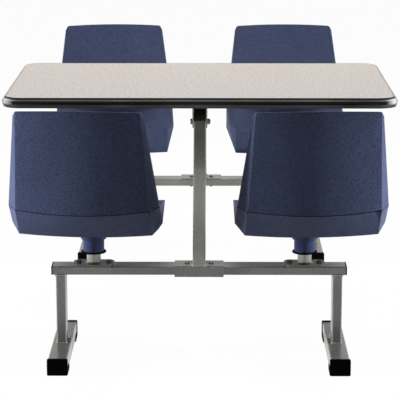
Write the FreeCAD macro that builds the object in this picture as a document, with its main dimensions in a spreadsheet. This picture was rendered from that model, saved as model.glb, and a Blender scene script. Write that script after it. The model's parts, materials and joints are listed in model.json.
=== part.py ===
import FreeCAD, Part
import math
import os
import Sketcher
from types import SimpleNamespace
from FreeCAD import Placement, Rotation, Vector

# Four-seat cluster table.  Millimetres, +Z up.  The origin is on the floor under the middle
# of the table top; X runs along the table's long side and the seats face it from -Y and +Y.

SIZES = [
    # table top
    ("top_length", 1219.0, "over the edge bumper, along X"),
    ("top_depth", 762.0, "over the edge bumper, along Y"),
    ("top_height", 737.0, "floor to the laminate's face"),
    ("top_corner_radius", 62.0, "outer corner of the bumper in plan"),
    ("laminate_thickness", 1.2, ""),
    ("core_thickness", 28.6, "particle board"),
    ("backer_thickness", 0.8, "balancing sheet under the board"),
    ("bumper_width", 12.0, "bumper seen from above"),
    ("bumper_height", 31.2, ""),
    ("bumper_rise", 0.3, "bumper stands proud of the laminate"),
    ("bumper_lip", 1.0, "flat bead beside the laminate"),
    ("bumper_shoulder", 6.4, "upper curve's middle, below the bumper's top"),
    ("bumper_slope", 4.6, "upper curve's middle, from the widest line"),
    ("bumper_widest", 15.0, "widest line, below the bumper's top"),
    ("bumper_tuck", 1.4, "lower curve's middle, from the widest line"),
    ("bumper_heel", 4.6, "lower edge, from the widest line"),
    ("stem_length", 10.0, "bumper's barbed stem in the board's slot"),
    ("stem_thickness", 3.0, ""),
    ("fit_gap", 0.3, "clearance between pieces that are slid together"),
    # seat beams
    ("beam_offset", 627.0, "beam's centre line from the table's middle, along Y"),
    ("beam_half_length", 432.3, "tube only, without its end caps"),
    ("beam_top", 281.3, "floor to the beam's upper face"),
    ("beam_depth", 63.5, "tube across Y"),
    ("beam_height", 25.4, "tube along Z"),
    ("tube_wall", 2.0, "all rectangular tubes"),
    ("tube_round", 4.0, "outer corner radius of the rectangular tubes"),
    ("end_cap_thickness", 4.0, "plate of the beam's end cap"),
    ("end_cap_insert", 18.0, "plug of the cap inside the tube"),
    # legs and feet
    ("leg_inset", 23.3, "leg and foot centre from the beam tube's end"),
    ("leg_width", 28.6, "tube across X"),
    ("foot_half_length", 193.0, "foot tube only"),
    ("foot_width", 56.0, ""),
    ("foot_height", 43.0, "tube"),
    ("pad_thickness", 4.0, "cap's sole under the tube"),
    ("cap_wall", 2.0, "cap's flange around the tube"),
    ("cap_face", 10.0, "cap's end face, along the foot"),
    ("cap_sole_length", 62.0, "sole under the tube"),
    ("cap_lip_height", 16.0, "side lips of the sole"),
    ("tab_length", 40.0, "leg's bolting tab, along Y"),
    ("tab_thickness", 3.0, ""),
    ("tab_height", 22.0, "tab's flange up the leg"),
    ("tab_margin", 1.0, "tab stops short of the foot's edge"),
    ("tab_bolt_diameter", 6.0, ""),
    # saddles and struts
    ("saddle_length", 145.0, ""),
    ("saddle_thickness", 3.5, "top flange"),
    ("saddle_face", 4.0, "outer flange"),
    ("saddle_drop", 4.6, "outer flange reaches below the beam"),
    ("saddle_bolt_spacing", 72.0, ""),
    ("strut_size", 38.1, "square tube"),
    ("strut_inset", 29.0, "strut's axis at its foot, from the saddle's outer face"),
    ("strut_bolt_offset", 226.2, "strut's bolt from the table's middle, along Y"),
    ("ear_drop", 62.5, "strut's bolt below the plate"),
    ("strut_overrun", 34.0, "tube beyond its bolt"),
    ("strut_bolt_diameter", 10.0, ""),
    # plate under the top
    ("plate_margin", 28.8, "plate beyond its ears, along Y"),
    ("plate_width", 130.0, ""),
    ("plate_thickness", 4.8, ""),
    ("plate_corner", 18.0, "corner chamfer"),
    ("ear_thickness", 4.0, ""),
    ("ear_round", 20.0, "radius of the ear round the bolt"),
    ("ear_root", 55.0, "half width of the ear at the plate"),
    ("wood_screw_diameter", 5.0, ""),
    ("wood_screw_length", 20.0, "in the board"),
    ("screw_margin", 15.0, "screws from the plate's edges"),
    ("screw_row", 130.0, "inner pair of screws from the plate's end"),
    ("thread_gap", 0.15, "radial, between a bolt and its thread"),
    # pedestals
    ("seat_offset", 312.0, "swivel axis from the middle, along X"),
    ("base_length", 120.0, "pedestal's base plate along X"),
    ("base_depth", 68.0, ""),
    ("base_thickness", 6.0, ""),
    ("base_corner", 12.0, "corner chamfer"),
    ("base_bolt_spacing", 88.0, ""),
    ("base_bolt_diameter", 8.0, ""),
    ("post_diameter", 41.3, ""),
    ("post_wall", 4.0, ""),
    ("post_top", 422.8, "floor to the top of the post"),
    ("post_plug", 16.0, "threaded plug welded in the post"),
    ("weld_leg", 4.0, "fillet weld round the post's foot"),
    # swivel
    ("swivel_limit", 25.0, "degrees each way from straight"),
    ("washer_thickness", 3.0, "thrust washer on the post"),
    ("sliding_gap", 0.2, "axial play at the thrust washer"),
    ("hub_diameter", 50.8, "swivel tube"),
    ("hub_wall", 3.0, ""),
    ("hub_bottom", 318.5, "floor to the lower end of the swivel tube"),
    ("hub_plate_thickness", 5.0, ""),
    ("hub_plate_width", 180.0, ""),
    ("hub_plate_front", 26.0, "plate ahead of the swivel axis"),
    ("hub_plate_back", 190.0, "plate behind the swivel axis"),
    ("hub_corner", 16.0, "corner radius of the hub plate"),
    ("rib_offset", 20.0, "rib from the middle"),
    ("rib_thickness", 5.0, ""),
    ("rib_height", 36.0, "rib under the hub plate, at the tube"),
    ("rib_end_height", 8.0, "rib at the rear edge"),
    ("bush_length", 24.0, ""),
    ("bush_flange", 2.5, ""),
    ("running_gap", 0.07, "bush on the post, radial"),
    ("press_gap", 0.02, "bush in the swivel tube, radial"),
    ("stop_pin_diameter", 6.0, ""),
    ("stop_pin_height", 366.0, "floor to the stop pin"),
    ("pin_setback", 0.8, "pin's tip from the post's bore"),
    ("retainer_diameter", 12.0, "bolt through the hub plate"),
    ("retainer_washer", 32.0, ""),
    ("sleeve_diameter", 62.4, "hub sleeve"),
    ("sleeve_flare", 75.0, "flared upper end"),
    ("sleeve_bottom", 322.9, ""),
    ("sleeve_shoulder", 362.0, "where the flare starts"),
    ("sleeve_top", 373.0, ""),
    ("sleeve_wall", 3.5, "at the flare"),
    ("ring_diameter", 73.6, "dust ring under the sleeve"),
    ("ring_bottom", 318.5, ""),
    ("ring_edge", 1.0, "chamfer"),
    # seat shell, from the swivel axis: side, forward and height of each corner
    ("shell_wall", 6.0, ""),
    ("back_top_side", 173.0, "rear panel's top corner"),
    ("back_top_forward", -328.0, ""),
    ("back_top_height", 794.0, ""),
    ("back_top_bow", 14.0, "rear panel bows backward"),
    ("back_top_crown", 4.0, "and its top edge rises"),
    ("back_top_round", 12.0, "rounding of the backrest's upper corners"),
    ("rim_top_side", 179.0, "outer rim at the top"),
    ("rim_top_forward", -321.0, ""),
    ("rim_top_height", 793.0, ""),
    ("fold_side", 188.0, "fold between the rear panel and the skirt"),
    ("fold_forward", -263.0, ""),
    ("fold_height", 503.0, ""),
    ("fold_bow", 20.0, ""),
    ("fold_sag", 11.0, ""),
    ("hem_side", 191.0, "rear lower corner"),
    ("hem_forward", -185.0, ""),
    ("hem_height", 416.0, ""),
    ("hem_bow", 10.0, ""),
    ("hem_sag", 6.0, ""),
    ("elbow_side", 215.0, "outer rim where the wing meets the seat's side"),
    ("elbow_forward", -212.0, ""),
    ("elbow_height", 506.0, ""),
    ("hip_side", 217.0, "widest corner of the skirt"),
    ("hip_forward", -142.0, ""),
    ("hip_height", 442.0, ""),
    ("arm_side", 212.0, "outer front corner of the rim"),
    ("arm_forward", 5.0, ""),
    ("arm_height", 477.5, ""),
    ("nose_side", 189.0, "front edge of the pan"),
    ("nose_forward", 41.0, ""),
    ("nose_height", 469.0, ""),
    ("nose_sag", 2.0, ""),
    ("front_bow", 1.0, "front edge and apron bow forward"),
    ("apron_side", 188.0, "lower corner of the front apron"),
    ("apron_forward", 36.0, ""),
    ("apron_height", 380.0, ""),
    ("apron_sag", 4.0, ""),
    ("rest_top_side", 167.0, "front face of the backrest, top corner"),
    ("rest_top_forward", -320.0, ""),
    ("rest_top_height", 793.5, ""),
    ("rest_foot_side", 182.0, "crease between the backrest and the pan"),
    ("rest_foot_forward", -216.0, ""),
    ("rest_foot_height", 510.0, ""),
    ("rest_foot_bow", 38.0, "the bucket is dished across"),
    ("rest_foot_sag", 40.0, ""),
    ("pan_side", 185.0, "lowest line across the pan"),
    ("pan_forward", -110.0, ""),
    ("pan_height", 491.0, "at its sides"),
    ("pan_sag", 38.0, ""),
    ("boss_diameter", 18.0, "screw bosses under the pan"),
    ("boss_spacing", 140.0, "across the seat"),
    ("boss_front", -34.0, "front pair, from the swivel axis"),
    ("boss_back", -164.0, "rear pair"),
    ("seat_screw_diameter", 6.0, ""),
    ("screw_in_boss", 12.0, "thread in the boss"),
]

# Each seat: side of the table it stands on and how far it is turned from straight, in degrees.
SEATS = {
    "front_left": (-1, -1, -3.3),
    "front_right": (1, -1, 3.0),
    "back_left": (-1, 1, 3.0),
    "back_right": (1, 1, 1.2),
}

nodes = []

doc = FreeCAD.newDocument("cluster_table")
sheet = doc.addObject("Spreadsheet::Sheet", "sizes")
for row, (alias, value, note) in enumerate(SIZES, start=1):
    sheet.set(f"A{row}", alias)
    sheet.set(f"B{row}", str(value))
    sheet.set(f"C{row}", note)
    sheet.setAlias(f"B{row}", alias)
doc.recompute()


class Size:
    """A number together with the spreadsheet formula that gives it."""

    def __init__(self, number, text):
        self.number = float(number)
        self.text = text

    def __float__(self):
        return self.number

    def __add__(self, other):
        other = as_size(other)
        return Size(self.number + other.number, f"({self.text} + {other.text})")

    def __sub__(self, other):
        other = as_size(other)
        return Size(self.number - other.number, f"({self.text} - {other.text})")

    def __mul__(self, other):
        other = as_size(other)
        return Size(self.number * other.number, f"({self.text} * {other.text})")

    def __truediv__(self, other):
        other = as_size(other)
        return Size(self.number / other.number, f"({self.text} / {other.text})")

    def __rmul__(self, other):
        return as_size(other) * self

    def __radd__(self, other):
        return as_size(other) + self

    def __rsub__(self, other):
        return as_size(other) - self

    def __neg__(self):
        return Size(-self.number, f"(-1 * {self.text})")


def as_size(value):
    return value if isinstance(value, Size) else Size(value, f"({value!r})")


def root_of(square):
    return Size(math.sqrt(square.number), f"sqrt({square.text})")


def asin_of(ratio):
    return Size(math.degrees(math.asin(ratio.number)), f"(asin({ratio.text}) / (1 deg))")


S = SimpleNamespace(**{alias: Size(getattr(sheet, alias), f"sizes.{alias}") for alias, _, _ in SIZES})

# Heights and places that several pieces share
core_top = S.top_height - S.laminate_thickness
core_bottom = core_top - S.core_thickness
top_underside = core_bottom - S.backer_thickness
plate_bottom = top_underside - S.plate_thickness
bumper_bottom = S.top_height + S.bumper_rise - S.bumper_height
beam_bottom = S.beam_top - S.beam_height
saddle_top = S.beam_top + S.saddle_thickness
foot_top = S.pad_thickness + S.foot_height
saddle_outside = S.beam_offset + S.beam_depth / 2 + S.saddle_face
strut_foot = saddle_outside - S.strut_inset
bolt_offset = S.strut_bolt_offset
bolt_height = plate_bottom - S.ear_drop
strut_run = strut_foot - bolt_offset
strut_rise = bolt_height - saddle_top
strut_reach = root_of(strut_run * strut_run + strut_rise * strut_rise)
strut_cosine = strut_run / strut_reach
strut_sine = strut_rise / strut_reach
plate_reach = bolt_offset + S.ear_root + S.plate_margin
base_top = S.beam_top + S.base_thickness
hub_plate_bottom = S.post_top + S.washer_thickness + S.sliding_gap
hub_plate_top = hub_plate_bottom + S.hub_plate_thickness
post_radius = S.post_diameter / 2
hub_radius = S.hub_diameter / 2
hub_bore_radius = hub_radius - S.hub_wall


def bind(item, prop, value):
    item.setExpression(prop, as_size(value).text)


# ---------------------------------------------------------------- building blocks

def new_body(label, listed=True):
    body = doc.addObject("PartDesign::Body", label)
    body.Label = label
    if listed:
        nodes.append(body)
    return body


def sketch_on(body, role, offset=(0, 0, 0)):
    """A sketch on one of the body's origin planes; offset is along the sketch's own axes."""
    plane = next(item for item in body.Origin.OriginFeatures if item.Role == role)
    sketch = body.newObject("Sketcher::SketchObject", body.Name + "_sketch")
    sketch.AttachmentSupport = [(plane, "")]
    sketch.MapMode = "FlatFace"
    for axis, value in zip("xyz", offset):
        bind(sketch, f"AttachmentOffset.Base.{axis}", value)
    return sketch


def constrain(sketch, kind, *where, value=None):
    if value is None:
        sketch.addConstraint(Sketcher.Constraint(kind, *where))
        return
    value = as_size(value)
    index = sketch.addConstraint(Sketcher.Constraint(kind, *where, value.number))
    bind(sketch, f"Constraints[{index}]", value)


def pin_point(sketch, geometry, point, x, y):
    """Fix a point of the sketch at x, y from the sketch's origin."""
    for kind, axis, value in (("DistanceX", -2, x), ("DistanceY", -1, y)):
        if float(as_size(value)) == 0:
            constrain(sketch, "PointOnObject", geometry, point, axis)
        else:
            constrain(sketch, kind, -1, 1, geometry, point, value=value)


def polygon(sketch, points):
    """A closed outline whose corners are placed from the sketch's origin."""
    corners = [Vector(float(as_size(x)), float(as_size(y)), 0) for x, y in points]
    first = sketch.GeometryCount
    count = len(corners)
    for index in range(count):
        sketch.addGeometry(Part.LineSegment(corners[index], corners[(index + 1) % count]))
    for index in range(count):
        constrain(sketch, "Coincident", first + index, 2, first + (index + 1) % count, 1)
    for index, (x, y) in enumerate(points):
        pin_point(sketch, first + index, 1, x, y)


def circle(sketch, radius, x=0, y=0):
    centre = Vector(float(as_size(x)), float(as_size(y)), 0)
    index = sketch.addGeometry(Part.Circle(centre, Vector(0, 0, 1), float(as_size(radius))))
    constrain(sketch, "Radius", index, value=radius)
    pin_point(sketch, index, 3, x, y)


def rounded_rectangle(sketch, width, height, radius):
    """A rectangle with rounded corners, centred on the sketch's origin."""
    w = float(as_size(width)) / 2
    h = float(as_size(height)) / 2
    r = float(as_size(radius))
    first = sketch.GeometryCount
    sides = [((-w + r, -h), (w - r, -h)), ((w, -h + r), (w, h - r)),
             ((w - r, h), (-w + r, h)), ((-w, h - r), (-w, -h + r))]
    for (x1, y1), (x2, y2) in sides:
        sketch.addGeometry(Part.LineSegment(Vector(x1, y1, 0), Vector(x2, y2, 0)))
    centres = [(w - r, -h + r), (w - r, h - r), (-w + r, h - r), (-w + r, -h + r)]
    for quarter, (x, y) in enumerate(centres):
        turn = math.pi / 2 * (quarter - 1)
        rounding = Part.Circle(Vector(x, y, 0), Vector(0, 0, 1), r)
        sketch.addGeometry(Part.ArcOfCircle(rounding, turn, turn + math.pi / 2))
    for side in range(4):
        constrain(sketch, "Tangent", first + side, 2, first + 4 + side, 1)
        constrain(sketch, "Tangent", first + 4 + side, 2, first + (side + 1) % 4, 1)
    for arc in (5, 6, 7):
        constrain(sketch, "Equal", first + 4, first + arc)
    constrain(sketch, "Horizontal", first)
    constrain(sketch, "Vertical", first + 1)
    constrain(sketch, "Horizontal", first + 2)
    constrain(sketch, "Vertical", first + 3)
    constrain(sketch, "Radius", first + 4, value=radius)
    constrain(sketch, "DistanceX", -1, 1, first + 1, 1, value=width / 2)
    constrain(sketch, "DistanceX", -1, 1, first + 3, 1, value=-width / 2)
    constrain(sketch, "DistanceY", -1, 1, first + 2, 1, value=height / 2)
    constrain(sketch, "DistanceY", -1, 1, first, 1, value=-height / 2)


def pad(body, sketch, length, both_ways=False):
    feature = body.newObject("PartDesign::Pad", body.Name + "_pad")
    feature.Profile = sketch
    feature.Midplane = both_ways
    bind(feature, "Length", length)
    body.Tip = feature
    return feature


def pocket(body, sketch, length, both_ways=False, reverse=False):
    """Cut the sketch out of the body, and fail if it meets nothing."""
    doc.recompute()
    before = body.Shape.Volume
    feature = body.newObject("PartDesign::Pocket", body.Name + "_pocket")
    feature.Profile = sketch
    feature.Midplane = both_ways
    feature.Reversed = reverse
    bind(feature, "Length", length)
    body.Tip = feature
    doc.recompute()
    check_cut(body, before)
    return feature


def check_cut(body, before):
    if body.Shape.Volume > before - 1e-6:
        raise RuntimeError(f"{body.Label}: {body.Tip.Name} cuts nothing")


def revolve(body, sketch, angle=360):
    """Turn the sketch about its own vertical axis."""
    feature = body.newObject("PartDesign::Revolution", body.Name + "_revolution")
    feature.Profile = sketch
    feature.ReferenceAxis = (sketch, ["V_Axis"])
    bind(feature, "Angle", angle)
    body.Tip = feature
    return feature


def groove(body, sketch, angle):
    """Cut the sketch, swept both ways about its own vertical axis, out of the body."""
    doc.recompute()
    before = body.Shape.Volume
    feature = body.newObject("PartDesign::Groove", body.Name + "_groove")
    feature.Profile = sketch
    feature.ReferenceAxis = (sketch, ["V_Axis"])
    feature.Midplane = True
    bind(feature, "Angle", angle)
    body.Tip = feature
    doc.recompute()
    check_cut(body, before)
    return feature


def dress(body, kind, amount, chosen):
    """Fillet or chamfer the edges of the body for which chosen(edge) is true."""
    doc.recompute()
    base = body.Tip
    names = [f"Edge{index}" for index, edge in enumerate(base.Shape.Edges, start=1) if chosen(edge)]
    if not names:
        raise RuntimeError(f"{body.Label}: no edge for the {kind}")
    feature = body.newObject("PartDesign::" + kind, body.Name + "_" + kind.lower())
    feature.Base = (base, names)
    bind(feature, "Radius" if kind == "Fillet" else "Size", amount)
    body.Tip = feature
    return feature


def place(body, x=0, y=0, z=0, turn=0.0, axis=Vector(0, 0, 1)):
    body.Placement = Placement(Vector(), Rotation(axis, turn))
    for name, value in zip("xyz", (x, y, z)):
        bind(body, f"Placement.Base.{name}", value)


def group(label, sources):
    compound = doc.addObject("Part::Compound", label)
    compound.Label = label
    compound.Links = sources
    nodes.append(compound)
    return compound


def mirrored(source, normal):
    copy = doc.addObject("Part::Mirroring", source.Name + "_mirror")
    copy.Source = source
    copy.Normal = normal
    return copy


def four_of(source):
    """The piece and its images across the table's two middle planes."""
    across = mirrored(source, Vector(1, 0, 0))
    return [source, across, mirrored(source, Vector(0, 1, 0)), mirrored(across, Vector(0, 1, 0))]


def hexagon(sketch, across_flats):
    reach = across_flats / math.sqrt(3)
    turns = [math.radians(60 * corner) for corner in range(6)]
    polygon(sketch, [(reach * round(math.cos(a), 9), reach * round(math.sin(a), 9)) for a in turns])


def tube(body, role, length, width, height, start=0):
    """A rounded rectangular tube, padded from one of the body's planes."""
    sketch = sketch_on(body, role, (0, 0, start))
    rounded_rectangle(sketch, width, height, S.tube_round)
    rounded_rectangle(sketch, width - 2 * S.tube_wall, height - 2 * S.tube_wall,
                      S.tube_round - S.tube_wall)
    return pad(body, sketch, length)


def hex_part(body, across_flats, thickness, start=0):
    sketch = sketch_on(body, "XY_Plane", (0, 0, start))
    hexagon(sketch, across_flats)
    return pad(body, sketch, thickness)


def rod(body, radius, length, start=0, x=0, y=0):
    sketch = sketch_on(body, "XY_Plane", (0, 0, start))
    circle(sketch, radius, x, y)
    return pad(body, sketch, length)


def turned(body, half_profile, angle=360):
    """A turned piece: its half profile is given as radius and height."""
    sketch = sketch_on(body, "XZ_Plane")
    polygon(sketch, half_profile)
    return revolve(body, sketch, angle)


# ---------------------------------------------------------------- table top

def plan_outline(sketch, inset):
    rounded_rectangle(sketch, S.top_length - 2 * inset, S.top_depth - 2 * inset,
                      S.top_corner_radius - inset)


def slab(label, inset, bottom, thickness):
    body = new_body(label)
    sketch = sketch_on(body, "XY_Plane", (0, 0, bottom))
    plan_outline(sketch, inset)
    pad(body, sketch, thickness)
    return body


def edge_ring(body, outer_inset, inner_inset, bottom):
    sketch = sketch_on(body, "XY_Plane", (0, 0, bottom))
    plan_outline(sketch, outer_inset)
    plan_outline(sketch, inner_inset)
    return sketch


def table_core():
    """Particle board with a slot round its edge for the bumper's stem."""
    inset = S.bumper_width + S.fit_gap
    body = slab("table_core", inset, core_bottom, S.core_thickness)
    height = S.stem_thickness + 2 * S.fit_gap
    level = (core_bottom + core_top) / 2 - height / 2
    sketch = edge_ring(body, inset - 1, inset + S.stem_length, level)
    pocket(body, sketch, height, reverse=True)


def nose(sketch, edge):
    """The bumper's section: a sloping upper curve, the widest line, and a lower curve under it.

    The sketch stands across the front edge, where outward is -x; edge is the widest line's x."""
    inner = edge + S.bumper_width
    lip = inner - S.bumper_lip
    top = S.top_height + S.bumper_rise
    points = [(inner, top), (lip, top), (edge + S.bumper_slope, top - S.bumper_shoulder),
              (edge, top - S.bumper_widest),
              (edge + S.bumper_tuck, (top - S.bumper_widest + bumper_bottom) / 2),
              (edge + S.bumper_heel, bumper_bottom), (inner, bumper_bottom)]
    at = [Vector(float(x), float(y), 0) for x, y in points]
    sketch.addGeometry(Part.LineSegment(at[6], at[0]))
    sketch.addGeometry(Part.LineSegment(at[0], at[1]))
    sketch.addGeometry(Part.Arc(at[1], at[2], at[3]))
    sketch.addGeometry(Part.Arc(at[3], at[4], at[5]))
    sketch.addGeometry(Part.LineSegment(at[5], at[6]))
    for arc, middle in ((2, 2), (3, 4)):
        sketch.addGeometry(Part.Point(at[middle]), True)
        constrain(sketch, "PointOnObject", arc + 3, 1, arc)
        pin_point(sketch, arc + 3, 1, *points[middle])
    constrain(sketch, "Coincident", 0, 2, 1, 1)
    constrain(sketch, "Coincident", 4, 2, 0, 1)
    ends = nose_ends(sketch)
    constrain(sketch, "Coincident", 1, 2, 2, ends["upper start"])
    constrain(sketch, "Coincident", 2, ends["upper end"], 3, ends["lower start"])
    constrain(sketch, "Coincident", 3, ends["lower end"], 4, 1)
    pin_point(sketch, 0, 1, *points[6])
    pin_point(sketch, 1, 1, *points[0])
    pin_point(sketch, 1, 2, *points[1])
    pin_point(sketch, 2, ends["upper end"], *points[3])
    pin_point(sketch, 4, 1, *points[5])


def nose_ends(sketch):
    """Which end of each arc is the upper one: a sketch stores its arcs anticlockwise."""
    ends = {}
    for name, index in (("upper", 2), ("lower", 3)):
        arc = sketch.Geometry[index]
        first_is_start = arc.StartPoint.y > arc.EndPoint.y
        ends[name + " start"] = 1 if first_is_start else 2
        ends[name + " end"] = 2 if first_is_start else 1
    return ends


def edge_bumper():
    """Bull-nosed vinyl edge, swept round the board, with a stem that grips the board's slot."""
    body = new_body("edge_bumper")
    spine = sketch_on(body, "XY_Plane", (0, 0, bumper_bottom))
    plan_outline(spine, as_size(0))
    profile = sketch_on(body, "YZ_Plane", (0, 0, S.top_corner_radius - S.top_length / 2))
    nose(profile, -S.top_depth / 2)
    doc.recompute()
    sweep = body.newObject("PartDesign::AdditivePipe", "bumper_sweep")
    sweep.Profile = profile
    sweep.Spine = spine
    body.Tip = sweep
    doc.recompute()
    level = (core_bottom + core_top) / 2 - S.stem_thickness / 2
    stem = edge_ring(body, S.bumper_width - 1, S.bumper_width + S.stem_length, level)
    pad(body, stem, S.stem_thickness)


def table_top():
    table_core()
    inset = S.bumper_width + S.fit_gap
    slab("top_laminate", inset, core_top, S.laminate_thickness)
    slab("backer_sheet", inset, top_underside, S.backer_thickness)
    edge_bumper()


# ---------------------------------------------------------------- plate under the top

def screw_places():
    """Places of the wood screws in one quarter of the plate, and by mirroring in all of it."""
    x = S.plate_width / 2 - S.screw_margin
    return [(x, plate_reach - S.screw_margin), (x, plate_reach - S.screw_row)]


def screw_holes(body, radius, start, depth):
    sketch = sketch_on(body, "XY_Plane", (0, 0, start))
    for x, y in screw_places():
        for side_x in (-1, 1):
            for side_y in (-1, 1):
                circle(sketch, radius, side_x * x, side_y * y)
    pocket(body, sketch, depth, reverse=True)


def ear_outline(sketch, centre_y):
    """An ear hanging from the plate, narrowing to a round end about the strut's bolt."""
    root = S.ear_root
    drop = plate_bottom + S.plate_thickness / 2 - bolt_height
    y, z, r = float(centre_y), float(bolt_height), float(S.ear_round)
    across, up = float(root), float(drop)
    lean = math.atan2(up, across) - math.acos(r / math.hypot(across, up))
    right = Vector(y + r * math.cos(lean), z + r * math.sin(lean), 0)
    left = Vector(2 * y - right.x, right.y, 0)
    top_right = Vector(y + across, z + up, 0)
    top_left = Vector(y - across, z + up, 0)
    first = sketch.GeometryCount
    sketch.addGeometry(Part.LineSegment(top_left, top_right))
    sketch.addGeometry(Part.LineSegment(top_right, right))
    round_end = Part.Circle(Vector(y, z, 0), Vector(0, 0, 1), r)
    sketch.addGeometry(Part.ArcOfCircle(round_end, math.pi - lean, 2 * math.pi + lean))
    sketch.addGeometry(Part.LineSegment(left, top_left))
    constrain(sketch, "Coincident", first, 2, first + 1, 1)
    constrain(sketch, "Tangent", first + 1, 2, first + 2, 2)
    constrain(sketch, "Tangent", first + 2, 1, first + 3, 1)
    constrain(sketch, "Coincident", first + 3, 2, first, 1)
    constrain(sketch, "Radius", first + 2, value=S.ear_round)
    pin_point(sketch, first + 2, 3, centre_y, bolt_height)
    pin_point(sketch, first, 1, centre_y - root, plate_bottom + S.plate_thickness / 2)
    pin_point(sketch, first, 2, centre_y + root, plate_bottom + S.plate_thickness / 2)


def top_plate():
    """Steel plate screwed under the board, with two pairs of ears for the struts."""
    body = new_body("top_plate")
    sketch = sketch_on(body, "XY_Plane", (0, 0, plate_bottom))
    x = S.plate_width / 2
    y = plate_reach
    cut = S.plate_corner
    polygon(sketch, [(-x + cut, -y), (x - cut, -y), (x, -y + cut), (x, y - cut),
                     (x - cut, y), (-x + cut, y), (-x, y - cut), (-x, -y + cut)])
    pad(body, sketch, S.plate_thickness)
    ear_inside = S.strut_size / 2 + S.fit_gap
    for start in (ear_inside, -ear_inside - S.ear_thickness):
        for centre_y in (bolt_offset, -bolt_offset):
            ear = sketch_on(body, "YZ_Plane", (0, 0, start))
            ear_outline(ear, centre_y)
            pad(body, ear, S.ear_thickness)
    bores = sketch_on(body, "YZ_Plane")
    for centre_y in (bolt_offset, -bolt_offset):
        circle(bores, S.strut_bolt_diameter / 2 + S.fit_gap, centre_y, bolt_height)
    pocket(body, bores, 2 * (ear_inside + S.ear_thickness) + 2, both_ways=True)
    screw_holes(body, S.wood_screw_diameter / 2 + S.fit_gap, plate_bottom - 1, S.plate_thickness + 2)


def top_plate_screws():
    """Pan-head wood screws, driven up into the board."""
    screws = []
    for index, (x, y) in enumerate(screw_places()):
        body = new_body(f"wood_screw_{index}", listed=False)
        head = S.wood_screw_diameter
        shank = S.wood_screw_diameter / 2
        length = top_underside - plate_bottom + S.wood_screw_length
        turned(body, [(0, -0.6 * head), (0.5 * head, -0.6 * head), (0.9 * head, -0.3 * head), (head, 0),
                      (shank, 0), (shank, length - head), (0, length)])
        place(body, x, y, plate_bottom)
        screws += four_of(body)
    group("top_plate_screws", screws)


def strut_bolts():
    """A hexagon bolt and its nut through each pair of ears."""
    outside = S.strut_size / 2 + S.fit_gap + S.ear_thickness
    bolt = new_body("strut_bolt", listed=False)
    head = 0.64 * S.strut_bolt_diameter
    hex_part(bolt, 1.6 * S.strut_bolt_diameter, head, -head)
    rod(bolt, S.strut_bolt_diameter / 2, 2 * outside + 1.1 * S.strut_bolt_diameter, -1)
    place(bolt, -outside, -bolt_offset, bolt_height, 90, Vector(0, 1, 0))
    nut = new_body("strut_nut", listed=False)
    hex_part(nut, 1.6 * S.strut_bolt_diameter, 0.8 * S.strut_bolt_diameter)
    bore = sketch_on(nut, "XY_Plane", (0, 0, -1))
    circle(bore, S.strut_bolt_diameter / 2 + S.thread_gap)
    pocket(nut, bore, S.strut_bolt_diameter + 2, reverse=True)
    place(nut, outside, -bolt_offset, bolt_height, 90, Vector(0, 1, 0))
    across_y = Vector(0, 1, 0)
    group("strut_bolts", [bolt, nut, mirrored(bolt, across_y), mirrored(nut, across_y)])


# ---------------------------------------------------------------- struts, saddles and beams

def strut(label, side):
    """Square tube leaning from its saddle to the plate's ears, mitred at the foot."""
    body = new_body(label)
    cosine = strut_cosine
    sine = strut_sine
    length = strut_reach + S.strut_overrun
    half = S.strut_size / 2
    outline = sketch_on(body, "YZ_Plane")
    end_y = length * cosine
    end_z = length * sine
    polygon(outline, [(side * half / sine, 0), (-side * half / sine, 0),
                      (-side * (end_y + half * sine), end_z - half * cosine),
                      (-side * (end_y - half * sine), end_z + half * cosine)])
    pad(body, outline, S.strut_size, both_ways=True)
    along = Vector(0, -side * float(cosine), float(sine))
    dress(body, "Fillet", S.tube_round,
          lambda edge: abs(edge.tangentAt(edge.FirstParameter).dot(along)) > 0.999)
    bore = half - S.tube_wall
    inside = sketch_on(body, "YZ_Plane")
    corners = []
    for reach, across in ((-S.strut_size, 1), (-S.strut_size, -1),
                          (length + S.strut_size, -1), (length + S.strut_size, 1)):
        corners.append((-side * (reach * cosine - across * bore * sine), reach * sine + across * bore * cosine))
    polygon(inside, corners)
    pocket(body, inside, 2 * bore, both_ways=True)
    hole = sketch_on(body, "YZ_Plane")
    circle(hole, S.strut_bolt_diameter / 2 + S.fit_gap, -side * strut_run, strut_rise)
    pocket(body, hole, S.strut_size + 2, both_ways=True)
    place(body, 0, side * strut_foot, saddle_top)


def saddle(label, side):
    """Angle that sits on the beam and covers its outer face; the strut is welded on it."""
    body = new_body(label)
    inner = -side * S.beam_depth / 2
    face = side * S.beam_depth / 2
    outer = side * (S.beam_depth / 2 + S.saddle_face)
    foot = beam_bottom - S.saddle_drop
    profile = sketch_on(body, "YZ_Plane")
    polygon(profile, [(inner, S.beam_top), (face, S.beam_top), (face, foot), (outer, foot),
                      (outer, saddle_top), (inner, saddle_top)])
    pad(body, profile, S.saddle_length, both_ways=True)
    holes = sketch_on(body, "XY_Plane", (0, 0, S.beam_top - 1))
    for x in (-S.saddle_bolt_spacing / 2, S.saddle_bolt_spacing / 2):
        circle(holes, S.base_bolt_diameter / 2 + S.fit_gap, x, 0)
    pocket(body, holes, S.saddle_thickness + 2, reverse=True)
    place(body, 0, side * S.beam_offset, 0)


def beam_bolt_places():
    half = S.base_bolt_spacing / 2
    return [S.saddle_bolt_spacing / 2, S.seat_offset - half, S.seat_offset + half]


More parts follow.
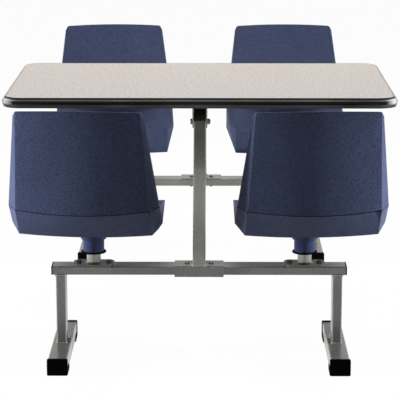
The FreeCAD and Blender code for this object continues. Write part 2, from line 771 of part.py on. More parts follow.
def beam(label, side):
    body = new_body(label)
    profile = sketch_on(body, "YZ_Plane")
    rounded_rectangle(profile, S.beam_depth, S.beam_height, S.tube_round)
    rounded_rectangle(profile, S.beam_depth - 2 * S.tube_wall, S.beam_height - 2 * S.tube_wall,
                      S.tube_round - S.tube_wall)
    pad(body, profile, 2 * S.beam_half_length, both_ways=True)
    holes = sketch_on(body, "XY_Plane")
    for x in beam_bolt_places():
        circle(holes, S.base_bolt_diameter / 2 + S.fit_gap, x, 0)
        circle(holes, S.base_bolt_diameter / 2 + S.fit_gap, -x, 0)
    pocket(body, holes, S.beam_height + 2, both_ways=True)
    place(body, 0, side * S.beam_offset, S.beam_top - S.beam_height / 2)


def beam_end_caps():
    body = new_body("beam_end_cap", listed=False)
    plate = sketch_on(body, "YZ_Plane")
    rounded_rectangle(plate, S.beam_depth, S.beam_height, S.tube_round)
    pad(body, plate, S.end_cap_thickness)
    plug = sketch_on(body, "YZ_Plane", (0, 0, -S.end_cap_insert))
    shrink = 2 * (S.tube_wall + S.fit_gap)
    rounded_rectangle(plug, S.beam_depth - shrink, S.beam_height - shrink, S.tube_round - S.tube_wall)
    pad(body, plug, S.end_cap_insert)
    place(body, S.beam_half_length, S.beam_offset, S.beam_top - S.beam_height / 2)
    group("beam_end_caps", four_of(body))


def button_bolt(label, grip, tail):
    """Button-head bolt standing on z = 0, its shank reaching down through the grip."""
    d = S.base_bolt_diameter
    body = new_body(label, listed=False)
    turned(body, [(0, 0.55 * d), (0.45 * d, 0.52 * d), (0.75 * d, 0.35 * d), (0.9 * d, 0.1 * d), (0.9 * d, 0),
                  (d / 2, 0), (d / 2, -(grip + tail)), (0, -(grip + tail))])
    socket = sketch_on(body, "XY_Plane", (0, 0, 0.2 * d))
    hexagon(socket, 0.62 * d)
    pocket(body, socket, d, reverse=True)
    return body


def hex_nut(label):
    d = S.base_bolt_diameter
    body = new_body(label, listed=False)
    hex_part(body, 1.6 * d, 0.8 * d)
    bore = sketch_on(body, "XY_Plane", (0, 0, -1))
    circle(bore, d / 2 + S.thread_gap)
    pocket(body, bore, d + 2, reverse=True)
    return body


def saddle_bolts():
    """Button-head bolts down through each saddle and beam, with nuts below."""
    x = S.saddle_bolt_spacing / 2
    bolt = button_bolt("saddle_bolt", S.saddle_thickness + S.beam_height, S.base_bolt_diameter)
    place(bolt, x, S.beam_offset, saddle_top)
    nut = hex_nut("saddle_nut")
    place(nut, x, S.beam_offset, beam_bottom - 0.8 * S.base_bolt_diameter)
    group("saddle_bolts", four_of(bolt) + four_of(nut))


# ---------------------------------------------------------------- legs and feet

leg_offset = S.beam_half_length - S.leg_inset
tab_reach = S.foot_width / 2 - S.tab_margin
tab_bolt_x = (S.leg_width / 2 + S.tab_thickness + tab_reach) / 2


def leg(label, side_x, side_y):
    """Upright tube with a small bolting tab on the side that faces the table's middle."""
    body = new_body(label)
    tube(body, "XY_Plane", beam_bottom - foot_top, S.leg_width, S.beam_depth)
    inward = -side_x
    root = S.leg_width / 2 - S.tube_wall / 2
    profile = sketch_on(body, "XZ_Plane")
    polygon(profile, [(inward * root, 0), (inward * tab_reach, 0),
                      (inward * tab_reach, S.tab_thickness),
                      (inward * (S.leg_width / 2 + S.tab_thickness), S.tab_thickness),
                      (inward * (S.leg_width / 2 + S.tab_thickness), S.tab_height),
                      (inward * root, S.tab_height)])
    pad(body, profile, S.tab_length, both_ways=True)
    hole = sketch_on(body, "XY_Plane", (0, 0, -1))
    circle(hole, S.tab_bolt_diameter / 2 + S.fit_gap, inward * tab_bolt_x, 0)
    pocket(body, hole, S.tab_thickness + 2, reverse=True)
    place(body, side_x * leg_offset, side_y * S.beam_offset, foot_top)


def foot(label, side_x, side_y):
    body = new_body(label)
    profile = sketch_on(body, "XZ_Plane")
    rounded_rectangle(profile, S.foot_width, S.foot_height, S.tube_round)
    rounded_rectangle(profile, S.foot_width - 2 * S.tube_wall, S.foot_height - 2 * S.tube_wall,
                      S.tube_round - S.tube_wall)
    pad(body, profile, 2 * S.foot_half_length, both_ways=True)
    hole = sketch_on(body, "XY_Plane")
    circle(hole, S.tab_bolt_diameter / 2 + S.fit_gap, -side_x * tab_bolt_x, 0)
    pocket(body, hole, S.foot_height, reverse=True)
    place(body, side_x * leg_offset, side_y * S.beam_offset, S.pad_thickness + S.foot_height / 2)


def foot_bolts():
    """Short button-head bolts through the legs' tabs into the feet."""
    d = S.tab_bolt_diameter
    bolt = new_body("foot_bolt", listed=False)
    turned(bolt, [(0, 0.5 * d), (0.5 * d, 0.45 * d), (0.8 * d, 0.2 * d), (0.8 * d, 0),
                  (d / 2, 0), (d / 2, -2 * d), (0, -2 * d)])
    place(bolt, leg_offset - tab_bolt_x, S.beam_offset, foot_top + S.tab_thickness)
    group("foot_bolts", four_of(bolt))


def foot_cap(label):
    """Moulded cap: end face, plug in the tube, and a sole with side lips under it.

    It is drawn for the end of a tube that lies on +Y of the cap's end face."""
    body = new_body(label, listed=False)
    width = S.foot_width + 2 * S.cap_wall
    height = foot_top + S.cap_wall
    face = sketch_on(body, "XZ_Plane", (0, height / 2, 0))
    rounded_rectangle(face, width, height, S.tube_round)
    pad(body, face, S.cap_face)
    sole = sketch_on(body, "XZ_Plane", (0, 0, -S.cap_sole_length))
    inside = S.foot_width / 2 + S.fit_gap
    polygon(sole, [(-width / 2, 0), (width / 2, 0), (width / 2, S.cap_lip_height), (inside, S.cap_lip_height),
                   (inside, S.pad_thickness), (-inside, S.pad_thickness), (-inside, S.cap_lip_height),
                   (-width / 2, S.cap_lip_height)])
    pad(body, sole, S.cap_sole_length)
    shrink = 2 * (S.tube_wall + S.fit_gap)
    plug = sketch_on(body, "XZ_Plane", (0, S.pad_thickness + S.foot_height / 2, -S.end_cap_insert))
    rounded_rectangle(plug, S.foot_width - shrink, S.foot_height - shrink, S.tube_round - S.tube_wall)
    pad(body, plug, S.end_cap_insert)
    return body


def foot_caps():
    """Caps for both ends of every foot; their soles are what stands on the floor."""
    outer = foot_cap("foot_cap_outer")
    place(outer, leg_offset, -(S.beam_offset + S.foot_half_length), 0)
    inner = foot_cap("foot_cap_inner")
    place(inner, leg_offset, -(S.beam_offset - S.foot_half_length), 0, 180)
    group("foot_caps", four_of(outer) + four_of(inner))


# ---------------------------------------------------------------- pedestals

def pedestal(label, side_x, side_y):
    """Base plate and welded post; a slot round part of the post limits the swivel."""
    body = new_body(label)
    outline = sketch_on(body, "XY_Plane")
    x = S.base_length / 2
    y = S.base_depth / 2
    cut = S.base_corner
    polygon(outline, [(-x + cut, -y), (x - cut, -y), (x, -y + cut), (x, y - cut),
                      (x - cut, y), (-x + cut, y), (-x, y - cut), (-x, -y + cut)])
    pad(body, outline, S.base_thickness)
    height = S.post_top - S.beam_top
    rod(body, post_radius, height)
    weld = sketch_on(body, "XZ_Plane")
    polygon(weld, [(post_radius - 1, S.base_thickness), (post_radius + S.weld_leg, S.base_thickness),
                   (post_radius, S.base_thickness + S.weld_leg),
                   (post_radius - 1, S.base_thickness + S.weld_leg)])
    revolve(body, weld)
    bore = sketch_on(body, "XY_Plane", (0, 0, S.base_thickness))
    circle(bore, post_radius - S.post_wall)
    pocket(body, bore, height - S.base_thickness - S.post_plug, reverse=True)
    thread = sketch_on(body, "XY_Plane", (0, 0, height - S.post_plug - 1))
    circle(thread, S.retainer_diameter / 2 + S.thread_gap)
    pocket(body, thread, S.post_plug + 2, reverse=True)
    holes = sketch_on(body, "XY_Plane", (0, 0, -1))
    for place_x in (-S.base_bolt_spacing / 2, S.base_bolt_spacing / 2):
        circle(holes, S.base_bolt_diameter / 2 + S.fit_gap, place_x, 0)
    pocket(body, holes, S.base_thickness + 2, reverse=True)
    stop_slot(body)
    place(body, side_x * S.seat_offset, side_y * S.beam_offset, S.beam_top, 90 + 90 * side_y)


def stop_slot(body):
    """Slot through the post's wall on the side that the seat faces, as wide as the swivel."""
    pin_radius = S.stop_pin_diameter / 2
    bore_radius = post_radius - S.post_wall
    middle = S.stop_pin_height - S.beam_top
    reach = pin_radius + S.fit_gap
    window = sketch_on(body, "YZ_Plane")
    polygon(window, [(bore_radius - 1, middle - reach), (post_radius + 1, middle - reach),
                     (post_radius + 1, middle + reach), (bore_radius - 1, middle + reach)])
    groove(body, window, 2 * (S.swivel_limit + asin_of(reach / bore_radius)))


def pedestal_bolts():
    """Two bolts from below each beam, with their nuts on the pedestal's plate."""
    parts = []
    for index, side in enumerate((-1, 1)):
        x = S.seat_offset + side * S.base_bolt_spacing / 2
        grip = S.beam_height + S.base_thickness
        bolt = button_bolt(f"pedestal_bolt_{index}", grip, S.base_bolt_diameter)
        place(bolt, x, S.beam_offset, beam_bottom, 180, Vector(1, 0, 0))
        nut = hex_nut(f"pedestal_nut_{index}")
        place(nut, x, S.beam_offset, base_top)
        parts += four_of(bolt) + four_of(nut)
    group("pedestal_bolts", parts)


def thrust_washers():
    body = new_body("thrust_washer", listed=False)
    bore = S.retainer_diameter / 2 + S.fit_gap
    turned(body, [(bore, 0), (post_radius, 0), (post_radius, S.washer_thickness), (bore, S.washer_thickness)])
    place(body, S.seat_offset, S.beam_offset, S.post_top)
    group("thrust_washers", four_of(body))


def retaining_bolts():
    """Flanged bolts in the posts' tops, holding the hub plates down."""
    d = S.retainer_diameter
    body = new_body("retaining_bolt", listed=False)
    flange = S.retainer_washer / 2
    turned(body, [(0, 0), (flange, 0), (flange, 0.15 * d), (0.8 * d, 0.22 * d), (0, 0.22 * d)])
    hex_part(body, 1.55 * d, 0.75 * d)
    depth = hub_plate_top + S.sliding_gap - S.post_top + S.post_plug
    rod(body, d / 2, depth + 1, -depth)
    place(body, S.seat_offset, S.beam_offset, hub_plate_top + S.sliding_gap)
    group("retaining_bolts", four_of(body))


# ---------------------------------------------------------------- swivel
# Every piece from here on is drawn in its seat's own frame: the origin is on the floor under
# the swivel axis and +Y is the way the sitter faces.

def seat_place(item, seat):
    side_x, side_y, turn = SEATS[seat]
    place(item, side_x * S.seat_offset, side_y * S.beam_offset, 0, 90 + 90 * side_y + turn)


def screw_corners():
    half = S.boss_spacing / 2
    return [(side * half, forward) for side in (-1, 1) for forward in (S.boss_front, S.boss_back)]


def swivel_hub(seat):
    """Tube that turns on the post, with the ribbed plate that carries the seat."""
    body = new_body("swivel_hub_" + seat)
    rod(body, hub_radius, hub_plate_bottom - S.hub_bottom, S.hub_bottom)
    middle = (S.hub_plate_front - S.hub_plate_back) / 2
    plate = sketch_on(body, "XY_Plane", (0, middle, hub_plate_bottom))
    rounded_rectangle(plate, S.hub_plate_width, S.hub_plate_front + S.hub_plate_back, S.hub_corner)
    pad(body, plate, S.hub_plate_thickness)
    for side in (-1, 1):
        inner = side * S.rib_offset - S.rib_thickness / 2
        rib = sketch_on(body, "YZ_Plane", (0, 0, inner))
        rear = -S.hub_plate_back + S.rib_end_height
        polygon(rib, [(0, hub_plate_bottom - S.rib_height), (0, hub_plate_bottom), (rear, hub_plate_bottom),
                      (rear, hub_plate_bottom - S.rib_end_height),
                      (-hub_radius, hub_plate_bottom - S.rib_height)])
        pad(body, rib, S.rib_thickness)
    bore = sketch_on(body, "XY_Plane", (0, 0, S.hub_bottom - 1))
    circle(bore, hub_bore_radius)
    pocket(body, bore, hub_plate_bottom - S.hub_bottom + 1, reverse=True)
    holes = sketch_on(body, "XY_Plane", (0, 0, hub_plate_bottom - 1))
    circle(holes, S.retainer_diameter / 2 + 1)
    for x, y in screw_corners():
        circle(holes, S.seat_screw_diameter / 2 + S.fit_gap, x, y)
    pocket(body, holes, S.hub_plate_thickness + 2, reverse=True)
    pin_hole = sketch_on(body, "XZ_Plane")
    circle(pin_hole, S.stop_pin_diameter / 2 + S.press_gap, 0, S.stop_pin_height)
    pocket(body, pin_hole, S.hub_diameter)
    seat_place(body, seat)


def stop_pin(seat):
    """Pin through the swivel tube; its tip runs in the post's slot."""
    body = new_body("stop_pin_" + seat)
    tip = post_radius - S.post_wall + S.pin_setback
    sketch = sketch_on(body, "XZ_Plane", (0, 0, -hub_radius))
    circle(sketch, S.stop_pin_diameter / 2, 0, S.stop_pin_height)
    pad(body, sketch, hub_radius - tip)
    seat_place(body, seat)


def hub_bushes(seat):
    """Two plain bushes pressed into the swivel tube; they run on the post."""
    inside = post_radius + S.running_gap
    outside = hub_bore_radius - S.press_gap
    flange = hub_radius - S.fit_gap
    lower = new_body("lower_bush_" + seat, listed=False)
    low = S.hub_bottom
    turned(lower, [(inside, low - S.bush_flange), (flange, low - S.bush_flange), (flange, low),
                   (outside, low), (outside, low + S.bush_length), (inside, low + S.bush_length)])
    seat_place(lower, seat)
    upper = new_body("upper_bush_" + seat, listed=False)
    high = hub_plate_bottom - S.fit_gap
    turned(upper, [(inside, high - S.bush_length), (outside, high - S.bush_length),
                   (outside, high), (inside, high)])
    seat_place(upper, seat)
    group("hub_bushes_" + seat, [lower, upper])


def dust_ring(seat):
    """Ring clamped round the lower end of the swivel tube."""
    body = new_body("dust_ring_" + seat)
    outside = S.ring_diameter / 2
    inside = hub_radius + S.press_gap
    edge = S.ring_edge
    turned(body, [(inside, S.ring_bottom), (outside - edge, S.ring_bottom), (outside, S.ring_bottom + edge),
                  (outside, S.sleeve_bottom - edge), (outside - edge, S.sleeve_bottom),
                  (inside, S.sleeve_bottom)])
    seat_place(body, seat)


def hub_sleeve(seat):
    """Moulded cover of the swivel tube, flared at its upper end."""
    body = new_body("hub_sleeve_" + seat)
    straight = S.sleeve_diameter / 2
    flare = S.sleeve_flare / 2
    inside = hub_radius + S.fit_gap
    wall = S.sleeve_wall
    turned(body, [(inside, S.sleeve_bottom), (straight, S.sleeve_bottom), (straight, S.sleeve_shoulder),
                  (flare, S.sleeve_top - wall), (flare, S.sleeve_top), (flare - wall, S.sleeve_top),
                  (straight - wall, S.sleeve_shoulder + wall), (inside, S.sleeve_shoulder + wall)])
    seat_place(body, seat)


def seat_screws(seat):
    screws = []
    d = S.seat_screw_diameter
    for index, (x, y) in enumerate(screw_corners()):
        body = new_body(f"seat_screw_{index}_{seat}", listed=False)
        length = S.hub_plate_thickness + S.screw_in_boss
        sketch = sketch_on(body, "XY_Plane", (x, y, hub_plate_bottom))
        circle(sketch, d / 2)
        pad(body, sketch, length)
        head = sketch_on(body, "XY_Plane", (x, y, hub_plate_bottom - 0.6 * d))
        hexagon(head, 1.6 * d)
        pad(body, head, 0.6 * d)
        seat_place(body, seat)
        screws.append(body)
    group("seat_screws_" + seat, screws)


# ---------------------------------------------------------------- seat shell

def corner(name):
    """One corner of the shell from the sheet, on the seat's right-hand side."""
    return Vector(*(float(getattr(S, f"{name}_{part}")) for part in ("side", "forward", "height")))


def level(point, forward=0.0, up=0.0):
    """The point's image on the seat's middle plane, moved forward and up."""
    return Vector(0, point.y + forward, point.z + up)


def across(point, middle):
    """Arc over the seat's whole width, from the left corner to the right one."""
    left = Vector(-point.x, point.y, point.z)
    return Part.Arc(left, middle, point).toShape()


def between(start, end, share):
    return start + (end - start) * share


def moved(point, side=0.0, forward=0.0, up=0.0):
    return point + Vector(side, forward, up)


def flip(shape):
    return shape.mirror(Vector(), Vector(1, 0, 0))


def sides(faces):
    """The given right-hand faces together with their left-hand images."""
    return faces + [flip(face) for face in faces]


def flat(*points):
    return Part.Face(Part.makePolygon(list(points) + [points[0]]))


def ruled(first, second):
    return Part.makeRuledSurface(first, second)


def swept(start, end, other_start, other_end):
    return ruled(Part.makeLine(start, end), Part.makeLine(other_start, other_end))


def closed(faces):
    """Sew faces into one solid."""
    seam = Part.makeCompound(faces)
    seam.sewShape()
    solid = Part.Solid(seam.Shells[0])
    if solid.Volume < 0:
        solid.reverse()
    return solid


class ShellCorners:
    """The shell's named corners and the arcs that join each pair of them."""

    def __init__(self):
        bow = {name: float(getattr(S, name)) for name in (
            "back_top_bow", "back_top_crown", "fold_bow", "fold_sag", "hem_bow", "hem_sag",
            "front_bow", "nose_sag", "apron_sag", "rest_foot_bow", "rest_foot_sag", "pan_sag",
            "shell_wall")}
        self.wall = bow["shell_wall"]
        self.back_top = corner("back_top")
        self.rim_top = corner("rim_top")
        self.fold = corner("fold")
        self.hem = corner("hem")
        self.elbow = corner("elbow")
        self.hip = corner("hip")
        self.arm = corner("arm")
        self.nose = corner("nose")
        self.apron = corner("apron")
        self.rest_top = corner("rest_top")
        self.rest_foot = corner("rest_foot")
        self.pan = corner("pan")
        self.mid_back_top = level(self.back_top, -bow["back_top_bow"], bow["back_top_crown"])
        self.mid_fold = level(self.fold, -bow["fold_bow"], -bow["fold_sag"])
        self.mid_hem = level(self.hem, -bow["hem_bow"], -bow["hem_sag"])
        self.mid_nose = level(self.nose, bow["front_bow"], -bow["nose_sag"])
        self.mid_apron = level(self.apron, bow["front_bow"], -bow["apron_sag"])
        self.mid_rest_top = level(self.rest_top, -bow["back_top_bow"], bow["back_top_crown"])
        self.mid_rest_foot = level(self.rest_foot, -bow["rest_foot_bow"], -bow["rest_foot_sag"])
        self.mid_pan = level(self.pan, 0, -bow["pan_sag"])
        w = self.wall
        self.rim_top_in = moved(self.rim_top, -0.7 * w, 0.75 * w, 0)
        self.elbow_in = moved(self.elbow, -0.85 * w, 0.5 * w, 0.15 * w)
        self.arm_in = moved(self.arm, -0.9 * w, -0.35 * w, 0.15 * w)


def shell_outside(c):
    """The whole seat as a closed solid, before it is hollowed from below."""
    back_top = across(c.back_top, c.mid_back_top)
    fold = across(c.fold, c.mid_fold)
    hem = across(c.hem, c.mid_hem)
    nose = across(c.nose, c.mid_nose)
    apron = across(c.apron, c.mid_apron)
    rest_top = across(c.rest_top, c.mid_rest_top)
    rest_foot = across(c.rest_foot, c.mid_rest_foot)
    pan = across(c.pan, c.mid_pan)
    faces = [ruled(back_top, fold), ruled(fold, hem), ruled(nose, apron), ruled(hem, apron),
             ruled(back_top, rest_top), ruled(rest_top, rest_foot), ruled(rest_foot, pan), ruled(pan, nose)]
    faces += sides([
        swept(c.back_top, c.fold, c.rim_top, c.elbow),
        swept(c.fold, c.hem, c.elbow, c.hip),
        flat(c.elbow, c.arm, c.hip),
        flat(c.hip, c.arm, c.apron),
        flat(c.hip, c.apron, c.hem),
        flat(c.arm, c.nose, c.apron),
        flat(c.back_top, c.rim_top, c.rim_top_in),
        flat(c.back_top, c.rim_top_in, c.rest_top),
        swept(c.rim_top, c.elbow, c.rim_top_in, c.elbow_in),
        swept(c.elbow, c.arm, c.elbow_in, c.arm_in),
        flat(c.arm, c.nose, c.arm_in),
        swept(c.rest_top, c.rest_foot, c.rim_top_in, c.elbow_in),
        flat(c.rest_foot, c.elbow_in, c.pan),
        flat(c.elbow_in, c.arm_in, c.pan),
        flat(c.arm_in, c.nose, c.pan),
    ])
    return closed(faces)


def shell_hollow(c):
    """The space under the pan, open at the bottom, that leaves one wall's thickness all round."""
    w = c.wall
    rear = moved(between(c.fold, c.hem, 0.25), -1.4 * w, 1.4 * w, 0)
    mid_rear = moved(between(c.mid_fold, c.mid_hem, 0.45), 0, 1.5 * w, 0)
    under = moved(c.pan, -0.6 * w, 0, -1.1 * w)
    mid_under = moved(c.mid_pan, 0, 0, -1.1 * w)
    front = moved(c.nose, -0.9 * w, -1.1 * w, -1.1 * w)
    mid_front = moved(c.mid_nose, 0, -1.1 * w, -1.1 * w)
    shoulder = moved(between(c.elbow, c.arm, 0.33), -1.4 * w, 0, -3.6 * w)
    knee = moved(c.arm, -2 * w, 0, -2.2 * w)
    side = moved(c.hip, -1.3 * w, 0.3 * w, 0.2 * w)
    rear_foot = moved(c.hem, -w, 3.2 * w, -2 * w)
    mid_rear_foot = moved(c.mid_hem, 0, 3 * w, -2 * w)
    side_foot = moved(between(c.hem, c.apron, 0.2), -2.75 * w, 0, -1.8 * w)
    knee_foot = moved(between(c.hem, c.apron, 0.86), -1.5 * w, 0, -1.7 * w)
    front_foot = moved(c.apron, -1.25 * w, -1.1 * w, -1.7 * w)
    mid_front_foot = moved(c.mid_apron, 0, -1.1 * w, -1.7 * w)
    rear_arc = across(rear, mid_rear)
    under_arc = across(under, mid_under)
    front_arc = across(front, mid_front)
    rear_foot_arc = across(rear_foot, mid_rear_foot)
    front_foot_arc = across(front_foot, mid_front_foot)
    faces = [ruled(rear_arc, under_arc), ruled(under_arc, front_arc), ruled(front_arc, front_foot_arc),
             ruled(rear_arc, rear_foot_arc), ruled(rear_foot_arc, front_foot_arc)]
    faces += sides([
        flat(rear, shoulder, under),
        flat(shoulder, knee, under),
        flat(knee, front, under),
        flat(rear, shoulder, side),
        flat(rear, side, rear_foot),
        flat(side, side_foot, rear_foot),
        flat(shoulder, knee, side),
        flat(side, knee, knee_foot),
        flat(side, knee_foot, side_foot),
        flat(knee, front, front_foot),
        flat(knee, front_foot, knee_foot),
        flat(rear_foot, side_foot, front_foot),
        flat(side_foot, knee_foot, front_foot),
    ])
    return closed(faces)


def shell_corner_cuts(c):
    """Waste outside the round at each upper corner of the backrest, cut right through it."""
    r = float(S.back_top_round)
    top = c.rim_top
    down = (c.elbow - c.rim_top)
    lean = down.x / down.z
    centre = Vector(top.x - r - r * abs(lean), 0, top.z + c.wall / 4 - r)
    spread = 2 * r
    start = Vector(centre.x, top.y - spread, centre.z + r)
    end = Vector(centre.x + r, start.y, centre.z)
    middle = Vector(centre.x + r * math.sqrt(0.5), start.y, centre.z + r * math.sqrt(0.5))
    beyond = [Vector(end.x + spread, start.y, end.z), Vector(end.x + spread, start.y, start.z + spread),
              Vector(start.x, start.y, start.z + spread)]
    wire = Part.Wire([Part.Arc(start, middle, end).toShape(), Part.makeLine(end, beyond[0]),
                      Part.makeLine(beyond[0], beyond[1]), Part.makeLine(beyond[1], beyond[2]),
                      Part.makeLine(beyond[2], start)])
    waste = Part.Face(wire).extrude(Vector(0, 2 * spread + r, 0))
    return [waste, flip(waste)]


def shell_bosses(c):
    """Posts under the pan for the seat screws, each with a blind hole."""
    bottom = float(hub_plate_top)
    share = float(S.boss_spacing) / 2 / c.pan.x
    reach = c.mid_pan.z + (c.pan.z - c.mid_pan.z) * share ** 2 + c.wall / 4 - bottom
    radius = float(S.boss_diameter) / 2
    bosses = []
    holes = []
    for x, y in screw_corners():
        foot = Vector(float(as_size(x)), float(as_size(y)), bottom)
        bosses.append(Part.makeCylinder(radius, reach, foot))
        hole = float(S.seat_screw_diameter) / 2 + float(S.thread_gap)
        holes.append(Part.makeCylinder(hole, float(S.screw_in_boss) + 1, foot))
    return bosses, holes


def seat_shells():
    """Moulded seats: a bucket of flat panels with a bowed back, one shape for all four."""
    corners = ShellCorners()
    shape = shell_outside(corners).cut(shell_hollow(corners))
    bosses, holes = shell_bosses(corners)
    shape = shape.fuse(bosses).cut(holes + shell_corner_cuts(corners)).removeSplitter()
    for seat in SEATS:
        shell = doc.addObject("Part::Feature", "seat_shell_" + seat)
        shell.Label = shell.Name
        shell.Shape = shape.Solids[0]
        seat_place(shell, seat)
        nodes.append(shell)


# ---------------------------------------------------------------- the whole table

def build():
    table_top()
    top_plate()
    top_plate_screws()
    strut_bolts()
    for name, side in (("front", -1), ("back", 1)):
        strut("strut_" + name, side)
        saddle("saddle_" + name, side)
        beam("beam_" + name, side)
    saddle_bolts()
    beam_end_caps()
    foot_caps()
    foot_bolts()
    pedestal_bolts()
    thrust_washers()
    retaining_bolts()
    for seat, (side_x, side_y, turn) in SEATS.items():
        leg("leg_" + seat, side_x, side_y)
        foot("foot_" + seat, side_x, side_y)
        pedestal("pedestal_" + seat, side_x, side_y)
        swivel_hub(seat)
        stop_pin(seat)
        hub_bushes(seat)
        dust_ring(seat)
        hub_sleeve(seat)
        seat_screws(seat)
    seat_shells()


def check():
    doc.recompute()
    for item in doc.Objects:
        if "Invalid" in item.State or "Error" in item.State:
            raise RuntimeError(f"{item.Name} ({item.Label}) did not recompute: {item.State}")
    for node in nodes:
        shape = node.Shape
        if shape.isNull() or not shape.isValid() or shape.Volume <= 0:
            raise RuntimeError(f"{node.Label} has no valid solid")


def export():
    os.makedirs("parts", exist_ok=True)
    for node in nodes:
        node.Shape.exportStep(f"parts/{node.Label}.step")


build()
check()
export()
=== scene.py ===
import json
import math

import bmesh
import bpy
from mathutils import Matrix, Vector


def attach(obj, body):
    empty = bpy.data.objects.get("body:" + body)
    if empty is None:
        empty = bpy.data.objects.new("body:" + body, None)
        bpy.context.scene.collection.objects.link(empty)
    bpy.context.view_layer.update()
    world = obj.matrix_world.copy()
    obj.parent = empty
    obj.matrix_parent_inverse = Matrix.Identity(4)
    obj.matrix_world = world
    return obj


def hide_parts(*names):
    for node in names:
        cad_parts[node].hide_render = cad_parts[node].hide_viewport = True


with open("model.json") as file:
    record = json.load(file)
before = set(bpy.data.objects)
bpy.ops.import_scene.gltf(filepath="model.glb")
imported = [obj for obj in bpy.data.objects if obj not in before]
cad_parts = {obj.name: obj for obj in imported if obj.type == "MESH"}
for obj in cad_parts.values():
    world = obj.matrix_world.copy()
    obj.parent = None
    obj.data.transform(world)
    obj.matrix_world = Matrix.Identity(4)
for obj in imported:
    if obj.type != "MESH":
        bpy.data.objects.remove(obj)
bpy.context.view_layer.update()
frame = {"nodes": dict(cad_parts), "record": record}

# Lengths are in metres in the CAD frame: +X right and +Z up in the photograph, the front at -Y.
PIVOTS = {"front_left": (-0.312, -0.627), "front_right": (0.312, -0.627),
          "back_left": (-0.312, 0.627), "back_right": (0.312, 0.627)}
BUMPER_LOW, BUMPER_HIGH = 0.7060, 0.7373
BUMPER_END_HIGHLIGHT = (("X", 0.570, 0.602), ("Y", 0.332, 0.362))     # where its painted corner highlights begin and are full
POST_FOOT = (0.2905, 0.2915)            # where the pedestal's coat gives way to zinc

# Seat mouldings
PANEL, GROOVE_SHADE, EDGE_HIGHLIGHT = 0, 1, 2           # their material indices
BACKREST_ABOVE = 0.70
FOLD_HEIGHTS = (0.480, 0.515)
FOLD_FACES_BACK = 0.25                  # least share of a face's normal that points to the rear
FOLD_STEEPER = 0.05                     # least drop of the normal's height across the fold
FOLD_TURN = math.radians(3)
SHARP_TURN = math.radians(9)
FLAT_TURN = math.radians(0.5)
SAME_POINT = 0.00005
EDGE_OFFSET = 0.0035
GROOVE_WIDTH = 0.0042
GROOVE_DEPTH = 0.0022

# Struts
PLATE_UNDERSIDE = 0.7014                # a little clear of the plate that the tubes reach
END_PLANE = 0.0001                      # depth within which a point lies on the tube's end

# Sleeve collars: radius and height of each corner of their section
COLLAR_SECTION = ((0.0370, 0.3600), (0.0380, 0.3615), (0.0392, 0.3650), (0.0420, 0.3690),
                  (0.0446, 0.3712), (0.0452, 0.3722), (0.0446, 0.3730), (0.0370, 0.3730))
COLLAR_STEPS = 64

# Weld beads
LEG_X = (0.3947, 0.4233)
LEG_Y = (0.5953, 0.6587)
LEG_WELDS = (("top", 0.2552, 0.0036), ("foot", 0.0470, 0.0026))     # place, height and radius
STRUT_X = (-0.0190, 0.0190)
STRUT_Y = (0.6048, 0.6622)
STRUT_WELD = (0.2850, 0.0028)                                       # height and radius
WELD_CORNER = 0.003
WELD_STEP = 0.0016
WELD_SIDES = 8

# Floor, world, lamps and camera
FLOOR_SIZE = 40.0
FLOOR_BOUNCE = (0.42, 0.42, 0.42)
FLOOR_WHITE = (0.85, 0.85, 0.85)
FLOOR_GLOW = 0.97
SKY_FILL = 0.03
WHITE = (1.0, 1.0, 1.0, 1.0)
CAMERA_PLACE = (0.0312, -5.8393, 1.6374)
CAMERA_TURN = (math.radians(77.44), 0.0, math.radians(0.315))
CAMERA_LENS = 163.35
CAMERA_SENSOR = 36.0


# ---------------------------------------------------------------- node material helpers

def new_material(name):
    """An empty node material with a Principled shader."""
    mat = bpy.data.materials.new(name)
    mat.use_nodes = True
    tree = mat.node_tree
    tree.nodes.clear()
    out = tree.nodes.new("ShaderNodeOutputMaterial")
    shader = tree.nodes.new("ShaderNodeBsdfPrincipled")
    tree.links.new(shader.outputs["BSDF"], out.inputs["Surface"])
    return mat, tree, shader


def coordinates(tree):
    """Object coordinates, which are the CAD frame's for every piece."""
    return tree.nodes.new("ShaderNodeTexCoord").outputs["Object"]


def noise(tree, where, scale, detail=3.0, rough=0.5, stretch=None):
    """Noise from 0 to 1, stretched by a scale for each axis where one is given."""
    if stretch is not None:
        mapping = tree.nodes.new("ShaderNodeMapping")
        mapping.inputs["Scale"].default_value = stretch
        tree.links.new(where, mapping.inputs["Vector"])
        where = mapping.outputs["Vector"]
    node = tree.nodes.new("ShaderNodeTexNoise")
    node.inputs["Scale"].default_value = scale
    node.inputs["Detail"].default_value = detail
    node.inputs["Roughness"].default_value = rough
    tree.links.new(where, node.inputs["Vector"])
    return node.outputs["Fac"]


def cells(tree, where, scale, feature="DISTANCE_TO_EDGE"):
    """Cell pattern: distance to the cells' edges, or to their centres with F1."""
    node = tree.nodes.new("ShaderNodeTexVoronoi")
    node.feature = feature
    node.inputs["Scale"].default_value = scale
    tree.links.new(where, node.inputs["Vector"])
    return node.outputs["Distance"]


def ramp(tree, factor, stops):
    """A colour ramp from pairs of place and colour."""
    node = tree.nodes.new("ShaderNodeValToRGB")
    while len(node.color_ramp.elements) < len(stops):
        node.color_ramp.elements.new(0.5)
    for element, (place, colour) in zip(node.color_ramp.elements, stops):
        element.position = place
        element.color = tuple(colour) + (1.0,)
    tree.links.new(factor, node.inputs["Fac"])
    return node.outputs["Color"]


def mapped(tree, value, low, high, to_low, to_high):
    """A value carried from one range to another, held at the ends."""
    node = tree.nodes.new("ShaderNodeMapRange")
    node.inputs["From Min"].default_value = low
    node.inputs["From Max"].default_value = high
    node.inputs["To Min"].default_value = to_low
    node.inputs["To Max"].default_value = to_high
    tree.links.new(value, node.inputs["Value"])
    return node.outputs["Result"]


